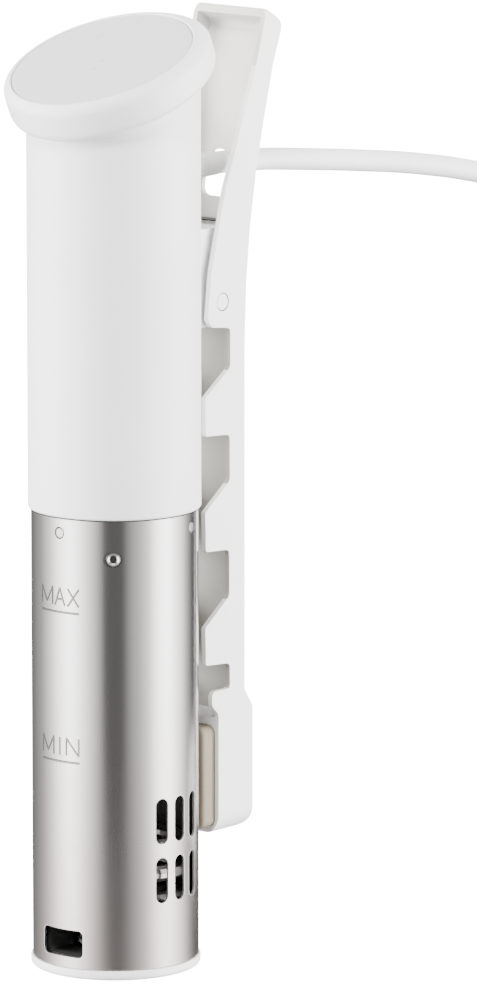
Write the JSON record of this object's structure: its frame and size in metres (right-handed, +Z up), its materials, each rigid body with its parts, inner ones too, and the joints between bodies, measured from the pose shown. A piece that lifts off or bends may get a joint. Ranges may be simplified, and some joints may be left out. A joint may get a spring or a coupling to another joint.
{
  "type": "sous vide circulator",
  "caption": "Stick immersion circulator with a tilted display head, a slotted steel tube and a sprung clip for a pot rim.",
  "frame": {"origin": "on the tube's axis at the underside of the foot", "axes": "+Z up along the tube, -Y towards the side the display faces, +Y towards the clip"},
  "size_m": [0.1369, 0.3269, 0.344],
  "materials": {
    "white_plastic": "satin",
    "clip_plastic": "satin",
    "panel_plastic": "gloss",
    "foot_plastic": "satin",
    "polished_steel": "polished",
    "pad_rubber": "matt",
    "black_rubber": "matt",
    "dark_plastic": "satin",
    "black_plastic": "satin",
    "circuit_board": "satin",
    "coil_copper": "satin",
    "brass": "polished",
    "bronze": "satin",
    "zinc_steel": "satin",
    "spring_steel": "satin",
    "white_nylon": "satin",
    "yellow_tape": "satin",
    "blue_plastic": "gloss",
    "cord_jacket": "satin"
  },
  "bodies": {
    "housing": {"base_cap": "foot_plastic", "steel_sleeve": "polished_steel", "pump_housing": "dark_plastic", "pump_cover": "dark_plastic", "shaft_bushing": "bronze", "heater_coil": "polished_steel", "temperature_probe": "polished_steel", "level_probes": "polished_steel", "bulkhead": "dark_plastic", "bulkhead_seal": "black_rubber", "shaft_seal": "black_rubber", "sleeve_pins": "polished_steel", "sleeve_screws": "polished_steel", "body_shell": "white_plastic", "head_bezel": "white_plastic", "display_panel": "panel_plastic", "display_board": "circuit_board", "digit_module": "black_plastic", "touch_springs": "brass", "buzzer": "black_plastic", "board_screws": "zinc_steel", "inner_frame": "dark_plastic", "motor_mount": "zinc_steel", "mount_screws": "zinc_steel", "motor_can": "zinc_steel", "motor_magnets": "black_plastic", "motor_bearings": "bronze", "power_board": "circuit_board", "transformer": "yellow_tape", "capacitor": "black_plastic", "relay": "blue_plastic", "cord_clamp": "dark_plastic", "cord_gland": "cord_jacket", "hinge_bracket": "white_plastic", "bracket_screws": "zinc_steel", "hinge_pin": "white_nylon", "torsion_spring": "spring_steel", "power_cord": "cord_jacket", "cord_coil": "cord_jacket", "cord_tail": "cord_jacket", "plug_body": "cord_jacket", "plug_blades": "brass"},
    "clip": {"clip_lever": "clip_plastic", "jaw_pad": "pad_rubber"},
    "rotor": {"motor_rotor": "coil_copper", "pump_shaft": "polished_steel", "impeller": "white_nylon"}
  },
  "joints": [
    {"name": "clip_hinge", "type": "hinge", "parent": "housing", "child": "clip", "pos_m": [0, 0.0402, 0.2383], "axis": [1, 0, 0], "range_deg": [0, 12], "stiffness_Nm_per_rad": 2, "springref_deg": -40.11, "deforming": ["torsion_spring"]},
    {"name": "motor_spin", "type": "hinge", "parent": "housing", "child": "rotor", "pos_m": [0, 0, 0.1], "axis": [0, 0, 1], "continuous": true}
  ]
}
